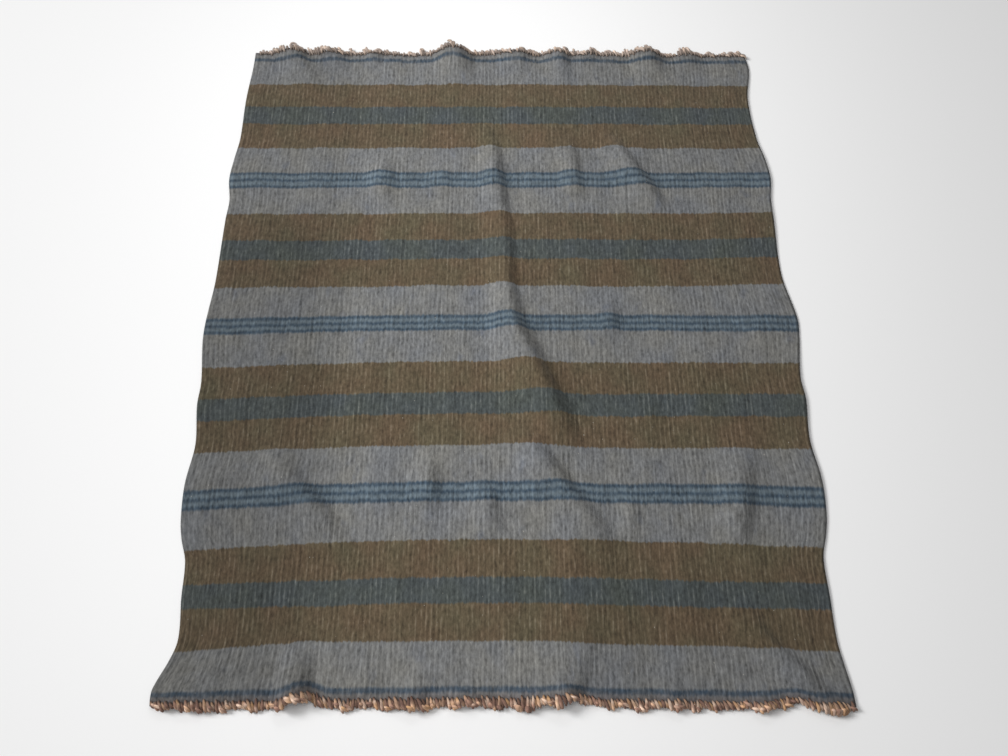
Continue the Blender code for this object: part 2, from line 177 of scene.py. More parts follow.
@dataclass(frozen=True)
class Lay:
    """How the blanket lies on the floor: its outline, drift, ridges, ruffles and low swells."""

    width: float = 1.500
    length: float = 1.846
    selvedge_power: float = 4.5
    slope_step: float = 0.002
    plan_shift: tuple[float, float] = (0.00532, -0.92008)
    selvedges: tuple[Selvedge, ...] = (
        Selvedge(0.000, 0.008, 0.006),
        Selvedge(0.045, 0.011, 0.004),
        Selvedge(0.075, 0.002, 0.000),
        Selvedge(0.118, -0.016, -0.007),
        Selvedge(0.160, -0.029, -0.013),
        Selvedge(0.240, -0.022, -0.014),
        Selvedge(0.335, -0.017, -0.015),
        Selvedge(0.385, -0.001, -0.001),
        Selvedge(0.430, 0.008, 0.008),
        Selvedge(0.510, 0.012, 0.010),
        Selvedge(0.605, 0.001, -0.004),
        Selvedge(0.710, 0.012, 0.002),
        Selvedge(0.770, 0.011, -0.003),
        Selvedge(0.880, 0.024, 0.011),
        Selvedge(0.935, 0.025, 0.014),
        Selvedge(1.050, 0.017, -0.009),
        Selvedge(1.240, 0.017, -0.008),
        Selvedge(1.300, 0.014, -0.007),
        Selvedge(1.370, 0.024, 0.001),
        Selvedge(1.440, 0.019, -0.007),
        Selvedge(1.510, 0.011, -0.021),
        Selvedge(1.660, 0.012, -0.029),
        Selvedge(1.774, 0.006, -0.012),
        Selvedge(1.846, 0.006, -0.026),
    )
    drift_places: tuple[float, ...] = (-0.75, -0.45, -0.15, 0.10, 0.25, 0.50, 0.75)
    drifts: tuple[Drift, ...] = (
        Drift(0.000, -0.004, -0.004, 0.000, 0.002, -0.001, -0.006, -0.006),
        Drift(0.130, -0.021, -0.002, 0.002, 0.002, -0.005, -0.009, -0.021),
        Drift(0.215, -0.011, -0.005, 0.002, 0.002, -0.001, -0.008, -0.010),
        Drift(0.350, -0.023, -0.006, 0.003, 0.004, 0.000, -0.006, -0.015),
        Drift(0.480, -0.018, -0.002, 0.005, 0.006, 0.000, -0.001, -0.010),
        Drift(0.580, -0.014, 0.000, 0.007, 0.007, 0.000, 0.000, -0.003),
        Drift(0.720, -0.017, -0.003, 0.004, 0.004, -0.002, -0.001, -0.002),
        Drift(0.930, -0.013, -0.005, 0.000, 0.000, 0.000, -0.002, -0.002),
        Drift(1.030, -0.004, -0.003, 0.002, 0.002, 0.000, 0.000, 0.008),
        Drift(1.150, -0.004, -0.003, 0.000, 0.001, 0.000, -0.001, 0.007),
        Drift(1.480, 0.000, 0.000, 0.001, 0.001, 0.001, -0.001, -0.001),
        Drift(1.846, 0.004, 0.000, 0.000, 0.000, -0.001, -0.006, -0.006),
    )
    ridges: tuple[tuple[Station, ...], ...] = (
        (
            Station(0.550, 0.165, 0.000, 0.120, 0.046),
            Station(0.640, 0.135, 0.020, 0.130, 0.054),
            Station(0.720, 0.105, 0.029, 0.130, 0.049),
            Station(0.810, 0.066, 0.034, 0.110, 0.043),
            Station(0.930, 0.018, 0.030, 0.075, 0.037),
            Station(1.060, 0.003, 0.019, 0.065, 0.034),
            Station(1.200, -0.004, 0.013, 0.060, 0.034),
            Station(1.370, -0.026, 0.018, 0.055, 0.032),
            Station(1.460, -0.034, 0.014, 0.055, 0.032),
            Station(1.580, -0.062, 0.000, 0.050, 0.032),
        ),
        (
            Station(0.000, 0.130, 0.012, 0.160, 0.048),
            Station(0.120, 0.165, 0.007, 0.180, 0.048),
            Station(0.240, 0.205, 0.003, 0.160, 0.050),
            Station(0.360, 0.220, 0.009, 0.120, 0.044),
            Station(0.430, 0.175, 0.020, 0.120, 0.050),
            Station(0.500, 0.120, 0.023, 0.130, 0.050),
            Station(0.580, 0.065, 0.018, 0.160, 0.046),
            Station(0.660, 0.015, 0.000, 0.150, 0.048),
        ),
        (
            Station(0.290, -0.345, 0.000, 0.080, 0.040),
            Station(0.350, -0.385, 0.007, 0.090, 0.046),
            Station(0.420, -0.435, 0.018, 0.100, 0.048),
            Station(0.500, -0.505, 0.022, 0.090, 0.052),
            Station(0.590, -0.560, 0.000, 0.080, 0.036),
        ),
        (
            Station(0.410, -0.170, 0.000, 0.060, 0.036),
            Station(0.490, -0.180, 0.014, 0.065, 0.036),
            Station(0.570, -0.190, 0.000, 0.060, 0.036),
        ),
        (
            Station(0.350, -0.025, 0.000, 0.050, 0.032),
            Station(0.430, -0.035, 0.011, 0.050, 0.032),
            Station(0.500, -0.045, 0.000, 0.050, 0.032),
        ),
        (
            Station(0.330, 0.535, 0.000, 0.060, 0.036),
            Station(0.410, 0.545, 0.014, 0.065, 0.046),
            Station(0.500, 0.562, 0.013, 0.065, 0.048),
            Station(0.610, 0.580, 0.000, 0.060, 0.034),
        ),
        (
            Station(0.000, 0.700, 0.008, 0.080, 0.040),
            Station(0.090, 0.640, 0.016, 0.080, 0.040),
            Station(0.170, 0.565, 0.012, 0.070, 0.038),
            Station(0.250, 0.530, 0.000, 0.060, 0.036),
        ),
        (
            Station(1.260, -0.335, 0.000, 0.050, 0.044),
            Station(1.370, -0.342, 0.016, 0.055, 0.046),
            Station(1.460, -0.348, 0.000, 0.050, 0.044),
        ),
        (
            Station(1.290, -0.172, 0.000, 0.060, 0.042),
            Station(1.370, -0.176, 0.010, 0.062, 0.042),
            Station(1.440, -0.180, 0.000, 0.060, 0.042),
        ),
        (
            Station(1.290, 0.200, 0.000, 0.050, 0.032),
            Station(1.360, 0.196, 0.013, 0.052, 0.034),
            Station(1.440, 0.188, 0.013, 0.052, 0.034),
            Station(1.530, 0.180, 0.000, 0.050, 0.032),
        ),
        (
            Station(1.250, 0.440, 0.000, 0.090, 0.040),
            Station(1.320, 0.405, 0.016, 0.100, 0.042),
            Station(1.380, 0.370, 0.022, 0.090, 0.042),
            Station(1.450, 0.333, 0.018, 0.070, 0.038),
            Station(1.530, 0.300, 0.000, 0.060, 0.036),
        ),
        (
            Station(0.350, 0.292, 0.000, 0.040, 0.026),
            Station(0.410, 0.298, 0.006, 0.040, 0.026),
            Station(0.470, 0.304, 0.000, 0.040, 0.026),
        ),
        (
            Station(0.870, 0.275, 0.000, 0.044, 0.036),
            Station(0.930, 0.270, 0.012, 0.046, 0.038),
            Station(1.000, 0.265, 0.000, 0.044, 0.036),
        ),
    )
    far_ruffles: tuple[Ruffle, ...] = (
        Ruffle(-0.645, 0.024, 0.075, 0.048, 0.170, 0.075),
        Ruffle(-0.525, 0.019, 0.060, 0.050, 0.110, 0.030),
        Ruffle(-0.395, 0.012, 0.034, 0.034, 0.090, 0.000),
        Ruffle(-0.155, 0.037, 0.080, 0.062, 0.170, 0.030),
        Ruffle(0.035, 0.020, 0.090, 0.050, 0.110, 0.015),
        Ruffle(0.165, 0.019, 0.060, 0.034, 0.160, 0.014),
        Ruffle(0.255, 0.011, 0.040, 0.040, 0.080, 0.000),
        Ruffle(0.430, 0.028, 0.072, 0.052, 0.130, 0.030),
        Ruffle(0.560, 0.013, 0.050, 0.050, 0.090, 0.000),
    )
    near_ruffles: tuple[Ruffle, ...] = (
        Ruffle(-0.690, 0.010, 0.080, 0.080, 0.120, -0.010),
        Ruffle(-0.450, 0.028, 0.055, 0.050, 0.180, -0.014),
        Ruffle(-0.195, 0.013, 0.060, 0.038, 0.080, 0.000),
        Ruffle(-0.080, 0.011, 0.042, 0.034, 0.070, 0.000),
        Ruffle(0.130, 0.012, 0.080, 0.046, 0.090, 0.010),
        Ruffle(0.360, 0.009, 0.050, 0.036, 0.090, 0.000),
        Ruffle(0.560, 0.012, 0.055, 0.040, 0.080, 0.000),
    )
    near_notches: tuple[Notch, ...] = (
        Notch(-0.430, 0.017, 0.060, 0.200),
        Notch(0.150, 0.009, 0.060, 0.080),
        Notch(0.620, 0.012, 0.065, 0.110),
    )
    swells: tuple[Swell, ...] = (
        Swell(0.0009, 0.210, 0.900, 0.4),
        Swell(0.0006, 0.127, -0.700, 2.1),
        Swell(0.0004, 0.083, 0.520, 5.0),
        Swell(0.0005, -0.340, 0.230, 1.2),
    )

    def selvedge_shift(self, across: np.ndarray, along: np.ndarray) -> np.ndarray:
        """Sideways shift, which grows from the middle to the selvedge."""
        places = column(self.selvedges, "along")
        left = curve(places, np.array(column(self.selvedges, "left")), along)
        right = curve(places, np.array(column(self.selvedges, "right")), along)
        share = (np.abs(across) / (self.width / 2.0)) ** self.selvedge_power
        return np.copysign(share, across) * np.where(across > 0.0, right, left)

    def weft_drift(self, across: np.ndarray, along: np.ndarray) -> np.ndarray:
        """Shift along the cloth of the weft at each place."""
        places = column(self.drifts, "along")
        rows = [curve(places, np.array(column(self.drifts, name)), along) for name in Drift._fields[1:]]
        return curve(self.drift_places, np.array(rows), across)

    def notch_shift(self, across: np.ndarray, along: np.ndarray) -> np.ndarray:
        """Shift of the near end where its edging is drawn in."""
        return sum(n.depth * hump(across - n.across, n.spread, n.spread) * fade(along, n.reach)
                   for n in self.near_notches)

    def ridge_height(self, rows: tuple[Station, ...], across: np.ndarray, along: np.ndarray) -> np.ndarray:
        """Height of one ridge at each place."""
        places = column(rows, "along")
        crest, height, left, right = (curve(places, np.array(column(rows, name)), along)
                                      for name in ("crest", "height", "left", "right"))
        inside = (along >= places[0]) & (along <= places[-1])
        return np.where(inside, np.maximum(height, 0.0) * hump(across - crest, left, right), 0.0)

    def ruffle_height(self, ruffle: Ruffle, across: np.ndarray, from_end: np.ndarray) -> np.ndarray:
        """Height of one ruffle at each place, from_end in from its end."""
        crest = ruffle.crest + ruffle.slant * from_end / ruffle.reach
        ridge = ruffle.height * hump(across - crest, ruffle.left, ruffle.right)
        return ridge * fade(from_end, ruffle.reach)

    def swell_height(self, across: np.ndarray, along: np.ndarray) -> np.ndarray:
        """Height of the low waves that keep the cloth from lying quite flat."""
        return sum(s.height * (1.0 + np.sin(math.tau * (across / s.across + along / s.along) + s.start))
                   for s in self.swells)

    def underside(self, across: np.ndarray, along: np.ndarray) -> np.ndarray:
        """Points of the cloth's underside, laid out.

        Args:
            across: each point's place across.
            along: each point's place along.

        Returns:
            One row of x, y and z a point.
        """
        height = sum(self.ridge_height(rows, across, along) for rows in self.ridges)
        height = height + sum(self.ruffle_height(r, across, along) for r in self.near_ruffles)
        height = height + sum(self.ruffle_height(r, across, self.length - along) for r in self.far_ruffles)
        height = height + self.swell_height(across, along)
        return np.stack([
            across + self.selvedge_shift(across, along) + self.plan_shift[0],
            along + self.weft_drift(across, along) + self.notch_shift(across, along) + self.plan_shift[1],
            height], axis=1)

    def raised(self, flat: np.ndarray) -> np.ndarray:
        """Lay points that are given in the flat measure.

        Args:
            flat: one row of across, along and lift a point.

        Returns:
            One row of x, y and z a point, lifted square to the cloth.
        """
        across, along, lift = flat.T
        step = self.slope_step
        side = self.underside(across + step, along) - self.underside(across - step, along)
        ahead = self.underside(across, along + step) - self.underside(across, along - step)
        square = np.cross(side, ahead)
        square /= np.linalg.norm(square, axis=1, keepdims=True)
        return self.underside(across, along) + square * lift[:, None]


class Sock:
    """A node's output, on which shader maths is written with Python's operators."""

    def __init__(self, tree: "Tree", socket: bpy.types.NodeSocket) -> None:
        """Keep the socket and the tree that it is in."""
        self.tree = tree
        self.socket = socket

    def maths(self, operation: str, *values: "Value") -> "Sock":
        """A Math node of this operation on the values."""
        return self.tree.node("ShaderNodeMath", {"operation": operation}, dict(enumerate(values)))

    def __add__(self, other: "Value") -> "Sock":
        """Sum."""
        return self.maths("ADD", self, other)

    __radd__ = __add__

    def __mul__(self, other: "Value") -> "Sock":
        """Product."""
        return self.maths("MULTIPLY", self, other)

    def __sub__(self, other: "Value") -> "Sock":
        """Difference."""
        return self.maths("SUBTRACT", self, other)

    def __rsub__(self, other: "Value") -> "Sock":
        """Difference, from a plain number."""
        return self.maths("SUBTRACT", other, self)

    def __pow__(self, other: "Value") -> "Sock":
        """Power."""
        return self.maths("POWER", self, other)

    def cosine(self) -> "Sock":
        """Cosine of an angle in radians."""
        return self.maths("COSINE", self)

    def size(self) -> "Sock":
        """Value without its sign."""
        return self.maths("ABSOLUTE", self)

    def rise(self, low: float, high: float) -> "Sock":
        """Smooth step from 0 at low to 1 at high, or back down where low is above high."""
        down = low > high
        return self.tree.node("ShaderNodeMapRange", {"interpolation_type": "SMOOTHSTEP"}, {
            "Value": self, "From Min": min(low, high), "From Max": max(low, high),
            "To Min": float(down), "To Max": float(not down)})


Value = Union[Sock, float]
Colour = Union[Sock, tuple[float, float, float]]


def from_screen(red: float, green: float, blue: float) -> tuple[float, float, float]:
    """Linear colour of a screen colour whose parts run from 0 to 255."""
    return tuple(((part / 255.0 + 0.055) / 1.055) ** 2.4 for part in (red, green, blue))


def added(parts: Sequence[Sock]) -> Sock:
    """Sum of some outputs."""
    return sum(parts[1:], parts[0])


class Cells(NamedTuple):
    """A layer of smooth noise: its cells' sizes across and along, its seed and finer layers."""

    across: float
    along: float
    seed: float
    detail: float = 1.0


class Tree:
    """The node tree of one material, with a Principled shader at its end."""

    def __init__(self, name: str) -> None:
        """Make the material and its two last nodes."""
        self.material = bpy.data.materials.new(name)
        self.material.use_nodes = True
        self.nodes = self.material.node_tree.nodes
        self.links = self.material.node_tree.links
        self.shader = self.nodes["Principled BSDF"]

    def put(self, socket: bpy.types.NodeSocket, value: Union[Value, Colour]) -> None:
        """Link a socket to an output, or set it to a plain value."""
        if isinstance(value, Sock):
            self.links.new(value.socket, socket)
        elif isinstance(value, tuple) and socket.type == "RGBA":
            socket.default_value = (*value, 1.0)
        else:
            socket.default_value = value

    def node(self, kind: str, settings: dict, inputs: dict, output: Union[int, str] = 0) -> Sock:
        """Make one node.

        Args:
            kind: the node's type.
            settings: its own settings, which are made first.
            inputs: values or outputs for its sockets, by name or number.
            output: the output that is wanted, by name or number.

        Returns:
            That output.
        """
        made = self.nodes.new(kind)
        for name, value in settings.items():
            setattr(made, name, value)
        for key, value in inputs.items():
            self.put(made.inputs[key], value)
        return Sock(self, made.outputs[output])

    def finish(self, inputs: dict) -> bpy.types.Material:
        """Set the shader's sockets and hand over the material."""
        for key, value in inputs.items():
            self.put(self.shader.inputs[key], value)
        return self.material

    def attribute(self, name: str) -> Sock:
        """A piece's own attribute, as a vector."""
        return self.node("ShaderNodeAttribute", {"attribute_name": name}, {}, "Vector")

    def parts(self, vector: Sock) -> tuple[Sock, Sock, Sock]:
        """The three parts of a vector."""
        made = self.node("ShaderNodeSeparateXYZ", {}, {"Vector": vector})
        outputs = made.socket.node.outputs
        return Sock(self, outputs[0]), Sock(self, outputs[1]), Sock(self, outputs[2])

    def vector(self, *parts: Value) -> Sock:
        """A vector of three parts."""
        return self.node("ShaderNodeCombineXYZ", {}, dict(enumerate(parts)))

    def noise(self, place: Sock, cells: Cells) -> Sock:
        """A layer of smooth noise at a place, mostly from -1 to 1."""
        spread = self.node("ShaderNodeVectorMath", {"operation": "MULTIPLY_ADD"}, {
            0: place, 1: (1.0 / cells.across, 1.0 / cells.along, 0.0),
            2: tuple(cells.seed * step for step in NOISE_STEPS)})
        made = self.node("ShaderNodeTexNoise", {"noise_dimensions": "3D"}, {
            "Vector": spread, "Scale": 1.0, "Detail": cells.detail, "Roughness": NOISE_ROUGHNESS})
        return made * 4.0 - 2.0

    def mixed(self, first: Colour, second: Colour, share: Value) -> Sock:
        """Colour between two others."""
        return self.node("ShaderNodeMix", {"data_type": "RGBA"}, {0: share, 6: first, 7: second}, 2)

    def scaled(self, colour: Colour, share: Value) -> Sock:
        """Colour made lighter or darker."""
        return self.node("ShaderNodeVectorMath", {"operation": "SCALE"}, {0: colour, "Scale": share})

    def bump(self, height: Value, distance: float) -> Sock:
        """Normal of a low relief whose height is in shares of a distance."""
        return self.node("ShaderNodeBump", {}, {"Height": height, "Distance": distance})


class Band(NamedTuple):
    """A woven stripe: its middle along the cloth and its width."""

    middle: float
    width: float


@dataclass(frozen=True)
class BrushedWool:
    """Milled and brushed wool cloth with woven stripes and paler lengthwise streaks."""

    grounds: tuple = (from_screen(110, 112, 115), from_screen(117, 116, 112))
    browns: tuple = (from_screen(95, 79, 62), from_screen(88, 81, 63))
    teals: tuple = (from_screen(71, 77, 80), from_screen(73, 78, 74))
    wash: tuple = from_screen(90, 105, 115)
    navy: tuple = from_screen(53, 68, 82)
    inks: tuple = from_screen(84, 92, 108)
    # Painted shade on the cloth just inside the yarn edging at both ends, and where it lies.
    edging_shade: tuple = from_screen(88, 80, 80)
    pale: tuple = from_screen(170, 166, 156)
    brown_bands: tuple[Band, ...] = (
        Band(0.2463, 0.2217), Band(0.6947, 0.2265), Band(1.141, 0.228), Band(1.592, 0.232))
    teal_bands: tuple[Band, ...] = (
        Band(0.2445, 0.057), Band(0.6935, 0.059), Band(1.1405, 0.061), Band(1.593, 0.062))
    wash_bands: tuple[Band, ...] = (Band(0.469, 0.044), Band(0.920, 0.044), Band(1.3655, 0.048))
    edging_shade_bands: tuple[Band, ...] = (Band(0.006, 0.044), Band(1.842, 0.044))
    navy_bands: tuple[Band, ...] = (
        Band(0.0370, 0.0125), Band(1.800, 0.0120),
        Band(0.450, 0.0088), Band(0.469, 0.0088), Band(0.488, 0.0088),
        Band(0.902, 0.0088), Band(0.920, 0.0088), Band(0.938, 0.0088),
        Band(1.344, 0.0088), Band(1.366, 0.0088), Band(1.387, 0.0088))
    rib_pitch: float = 0.0116
    relief: float = 0.0009
    pale_warps: tuple[float, ...] = (
        -0.6435, -0.5135, -0.477, 0.050, 0.074, 0.132, 0.286, 0.3305, 0.365, 0.3995)
    warp_width: float = 0.0030
    warp_light: float = 0.16
    warp_dark: float = -0.10
    dark_beside: float = 0.0060
    warp_wander: float = 0.0015
    feather: float = 0.0030
    weft_wander: float = 0.0022
    # Painted shade of the light's falloff: how far its edge wanders and how dark each side is painted.
    shade_wander: float = 0.030
    left_shade: float = 0.26
    right_shade: float = 0.12
    rib_bend: Cells = Cells(0.045, 0.350, 1.0, 2.0)
    steady_streak: Cells = Cells(0.0100, 1.600, 2.0)
    broken_streak: Cells = Cells(0.0090, 0.050, 3.0, 2.0)
    fine_hair: Cells = Cells(0.0070, 0.030, 4.0, 2.0)
    grain: Cells = Cells(0.0060, 0.0105, 5.0, 2.0)
    patch: Cells = Cells(0.110, 0.150, 6.0, 2.0)
    warp: Cells = Cells(0.0095, 0.220, 7.0, 2.0)
    feathering: Cells = Cells(0.0060, 0.050, 8.0, 2.0)
    weft_bend: Cells = Cells(0.060, 0.160, 9.0, 2.0)
    hue: Cells = Cells(0.110, 0.130, 10.0, 3.0)
    ink: Cells = Cells(0.040, 0.070, 11.0, 2.0)
    nep: Cells = Cells(0.0050, 0.0080, 12.0)
    glint: Cells = Cells(0.0062, 0.0200, 13.0)
    shade_bend: Cells = Cells(0.160, 0.300, 14.0, 2.0)
    warp_bend: Cells = Cells(0.300, 0.500, 15.0)
    warp_strength: Cells = Cells(0.050, 0.120, 16.0, 2.0)
    navy_strength: Cells = Cells(0.045, 0.014, 17.0, 2.0)

    def bands(self, weft: Sock, bands: tuple[Band, ...], soft: float) -> Sock:
        """Mask that is 1 in some stripes and 0 between them, and fades over a soft length."""
        return added([(weft - band.middle).size().rise((band.width + soft) / 2.0, (band.width - soft) / 2.0)
                      for band in bands])

    def tone(self, tree: Tree, place: Sock, across: Sock, along: Sock) -> Sock:
        """Painted light falloff: paler down a middle strip and painted darker to both sides, as shade.

        Args:
            tree: the material's tree.
            place: the place in the flat measure.
            across: its part across.
            along: its part along.

        Returns:
            The share of light that is left.
        """
        drifted = across + tree.noise(place, self.shade_bend) * self.shade_wander
        left = drifted.rise(-0.35, -0.52) * (1.0 - along.rise(1.15, 1.35) * 0.50)
        right = drifted.rise(0.02, 0.26) * (0.75 + along.rise(0.40, 0.20) * 0.5)
        return 1.0 - left * self.left_shade - right * self.right_shade

    def warp_lines(self, tree: Tree, place: Sock, across: Sock) -> Sock:
        """A few paler warps that run the whole length, each with a darker one beside it.

        Args:
            tree: the material's tree.
            place: the place in the flat measure.
            across: its part across.

        Returns:
            Lightness to add.
        """
        bent = across + tree.noise(place, self.warp_bend) * self.warp_wander
        strength = tree.noise(place, self.warp_strength).rise(-0.9, 0.9)
        pair = (0.0, self.warp_light), (self.dark_beside, self.warp_dark)
        return added([(bent - (warp + shift)).size().rise(self.warp_width, 0.0) * amount
                      for warp in self.pale_warps for shift, amount in pair]) * strength

    def stripes(self, tree: Tree, place: Sock, along: Sock, rib: Sock, hairs: Sock) -> Sock:
        """Colour of the woven stripes and of the ground between them.

        Args:
            tree: the material's tree.
            place: the place in the flat measure.
            along: its part along.
            rib: 1 on a rib's crest and 0 between two ribs.
            hairs: share of pale hairs in the brown stripes.

        Returns:
            The colour.
        """
        weft = along + tree.noise(place, self.feathering) * self.feather
        weft = weft + tree.noise(place, self.weft_bend) * self.weft_wander
        browns = self.bands(weft, self.brown_bands, 0.0050)
        navies = self.bands(weft, self.navy_bands, 0.0080)
        strength = tree.noise(place, self.navy_strength).rise(-1.3, 0.8) * 0.34 + 0.62
        hue = tree.noise(place, self.hue).rise(-1.1, 1.1)
        inked = tree.noise(place, self.ink).rise(0.30, 1.3) * 0.45
        colour = tree.mixed(tree.mixed(*self.grounds, hue), self.inks, inked)
        for dye, share in (
                (tree.mixed(*self.browns, hue), browns),
                (tree.mixed(*self.teals, hue), self.bands(weft, self.teal_bands, 0.0060)),
                (self.pale, browns * hairs),
                (self.wash, self.bands(weft, self.wash_bands, 0.0080) * 0.80),
                (self.navy, navies * (strength - rib * 0.12)),
                # painted shade on the cloth beside the yarn edging
                (self.edging_shade, self.bands(weft, self.edging_shade_bands, 0.0200) * 0.75)):
            colour = tree.mixed(colour, dye, share)
        return colour

    def make(self) -> bpy.types.Material:
        """Make the material."""
        tree = Tree("brushed_wool_cloth")
        place = tree.attribute(FLAT_PLACE)
        across, along, _ = tree.parts(place)
        bend = tree.noise(place, self.rib_bend) * 0.9 + across * (math.tau / self.rib_pitch)
        rib = (bend.cosine() * 0.5 + 0.5) ** 2.0
        steady = tree.noise(place, self.steady_streak).rise(-0.8, 1.0)
        broken = tree.noise(place, self.broken_streak).rise(-0.7, 0.8)
        streak = (rib - 0.375) * (steady * 0.45 + broken * 0.70 + 0.08)
        warp, fine, grain, patch = (
            tree.noise(place, cells) for cells in (self.warp, self.fine_hair, self.grain, self.patch))
        glint = tree.noise(place, self.glint).rise(0.55, 1.30)
        hairs = (streak * 0.55 + fine * 0.30 + grain * 0.15).rise(0.02, 0.75) * 0.12
        colour = self.stripes(tree, place, along, rib, hairs)

        light = streak * 0.36 + warp * 0.15 + fine * 0.29 + grain * 0.28
        light = light + patch * 0.04 + glint * 0.34 + 0.975
        light = light + self.warp_lines(tree, place, across)
        # Painted light falloff darkens the cloth's colour towards both sides.
        colour = tree.scaled(colour, light * self.tone(tree, place, across, along))
        colour = tree.mixed(colour, self.pale, tree.noise(place, self.nep).rise(1.05, 1.30) * 0.8)
        height = streak * 0.45 + fine * 0.20 + grain * 0.30
        return tree.finish({
            "Base Color": colour, "Roughness": 0.96, "Specular IOR Level": 0.15,
            "Sheen Weight": 0.10, "Sheen Roughness": 0.55,
            "Normal": tree.bump(height, self.relief)})


@dataclass(frozen=True)
class DippedYarn:
    """Thick soft yarn, dyed in lengths of changing colour."""

    dyes: tuple = (
        (0.00, from_screen(98, 70, 56)), (0.14, from_screen(136, 102, 82)),
        (0.26, from_screen(200, 158, 122)), (0.37, from_screen(232, 202, 180)),
        (0.46, from_screen(164, 128, 110)), (0.54, from_screen(134, 104, 92)),
        (0.63, from_screen(216, 176, 146)), (0.73, from_screen(206, 162, 118)),
        (0.84, from_screen(222, 192, 176)), (1.00, from_screen(136, 106, 94)))
    dull: tuple = from_screen(180, 170, 161)
    dye: Cells = Cells(0.085, 1.0, 1.0, 2.0)
    dye_spread: float = 0.42
    fuzz: Cells = Cells(0.0012, 0.0012, 2.0, 2.0)
    plies: int = 2
    ply_pitch: float = 0.016
    relief: float = 0.0008

    def make(self) -> bpy.types.Material:
        """Make the material."""
        tree = Tree("dipped_yarn")
        along, cosine, sine = tree.parts(tree.attribute(YARN_PLACE))
        dye, shade, dulled = tree.parts(tree.attribute(YARN_DYE_AND_SHADE))
        angle = sine.maths("ARCTAN2", sine, cosine)
        twist = (angle * float(self.plies) + along * (math.tau / self.ply_pitch)).cosine() * 0.5 + 0.5
        shift = tree.noise(tree.vector(dye, 0.0, 0.0), self.dye) * self.dye_spread
        ramp = tree.node("ShaderNodeValToRGB", {}, {"Fac": shift + 0.5})
        stops = ramp.socket.node.color_ramp.elements
        for at, colour in self.dyes[1:-1]:
            stops.new(at).color = (*colour, 1.0)
        stops[0].color = (*self.dyes[0][1], 1.0)
        stops[-1].color = (*self.dyes[-1][1], 1.0)
        room = tree.node("ShaderNodeTexCoord", {}, {}, "Object")
        fuzz = tree.noise(room, self.fuzz)
        # Painted shade: the yarn is darker in the grooves between its plies, and darker by each point's
        # painted shade.
        light = (twist * 0.34 + 0.72) * (fuzz * 0.20 + 1.0) * (shade * 0.75 + 0.25)
        return tree.finish({
            "Base Color": tree.scaled(tree.mixed(ramp, self.dull, dulled), light),
            "Roughness": 0.93, "Specular IOR Level": 0.15,
            "Sheen Weight": 0.12, "Sheen Roughness": 0.5,
            "Normal": tree.bump(twist * 0.8 + fuzz * 0.2, self.relief)})


@dataclass(frozen=True)
class PaleFloor:
    """Plain matt pale floor."""

    colour: tuple = (0.90, 0.90, 0.90)

    def make(self) -> bpy.types.Material:
        """Make the material."""
        return Tree("pale_floor").finish({
            "Base Color": self.colour, "Roughness": 0.9, "Specular IOR Level": 0.1})


def spaced(start: float, end: float, count: int) -> list[float]:
    """Places from start to end in count equal steps."""
    return [start + (end - start) * i / count for i in range(count + 1)]


def finished(name: str, bm: bmesh.types.BMesh, material: bpy.types.Material) -> bpy.types.Object:
    """Turn a laid piece's faces out and make it an object of the frame.

    Args:
        name: the piece's name.
        bm: its laid mesh, which is freed.
        material: its finish.

    Returns:
        The new object, at the origin.
    """
    bmesh.ops.recalc_face_normals(bm, faces=bm.faces[:])
    mesh = bpy.data.meshes.new(name)
    bm.to_mesh(mesh)
    bm.free()
    mesh.materials.append(material)
    mesh.shade_smooth()
    piece = bpy.data.objects.new(name, mesh)
    bpy.context.scene.collection.objects.link(piece)
    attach(piece, BODY)
    LOG.info("%s: %d faces", name, len(mesh.polygons))
    return piece


